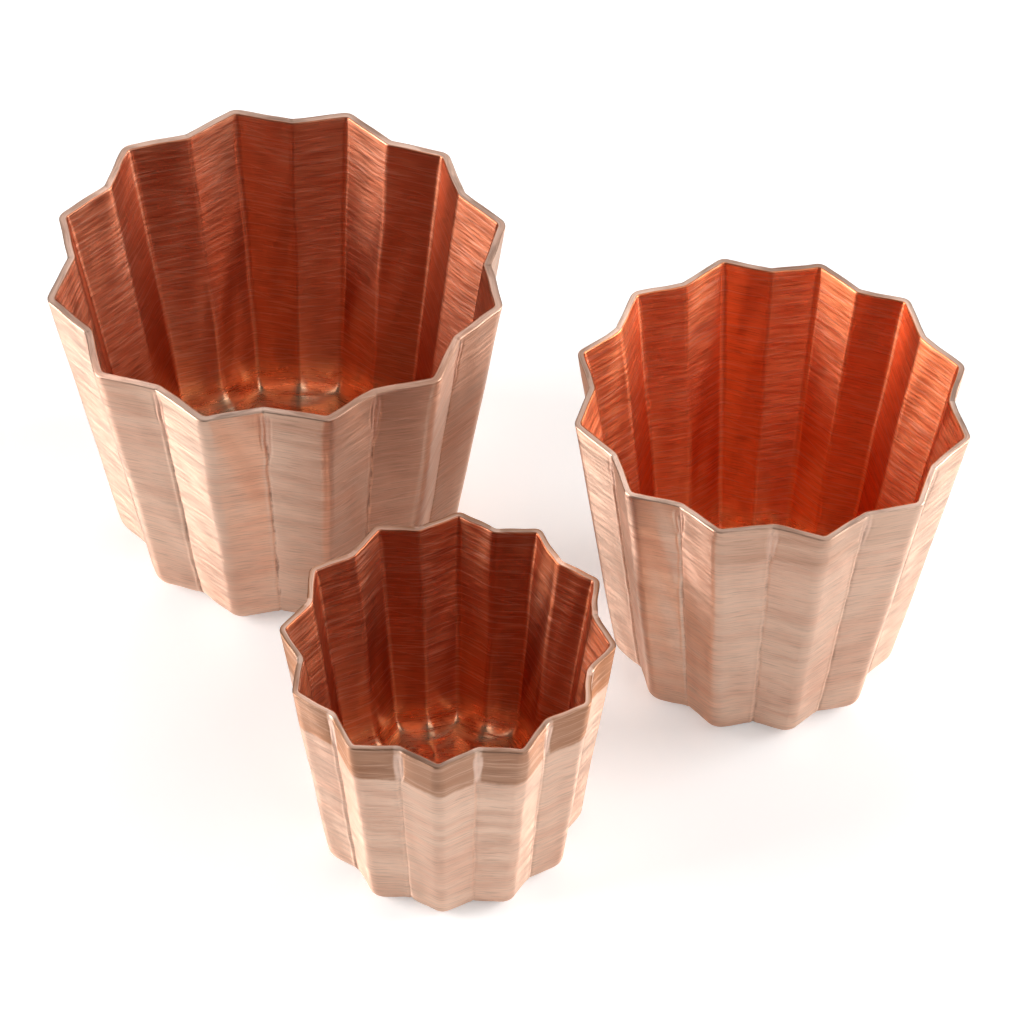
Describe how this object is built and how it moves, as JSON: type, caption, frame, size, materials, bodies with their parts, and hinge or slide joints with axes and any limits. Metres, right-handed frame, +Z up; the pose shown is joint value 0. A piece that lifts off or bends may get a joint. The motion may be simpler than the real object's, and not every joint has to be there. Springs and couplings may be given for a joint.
{
  "type": "fluted baking mould set",
  "caption": "Set of open, tapered, fluted copper baking moulds in large, medium and small sizes, standing side by side to hold batter in the oven.",
  "frame": {"origin": "on the table, at the middle of the box round the three moulds", "axes": "+Z up out of the moulds' mouths; +X from the large mould towards the medium one; the small mould stands in front, towards -Y"},
  "size_m": [0.1064, 0.0948, 0.042],
  "materials": {
    "large_copper": "brushed bare copper, lightly tarnished",
    "medium_copper": "brushed bare copper, lightly tarnished",
    "small_copper": "brushed bare copper, tarnished below the rim"
  },
  "bodies": {
    "large": {"large_mould": "large_copper"},
    "medium": {"medium_mould": "medium_copper"},
    "small": {"small_mould": "small_copper"}
  },
  "joints": [
    {"name": "medium_lift", "type": "slide", "parent": "large", "child": "medium", "axis": [0, 0, 1], "range_m": [0, 0.06]},
    {"name": "small_lift", "type": "slide", "parent": "large", "child": "small", "axis": [0, 0, 1], "range_m": [0, 0.06]}
  ]
}
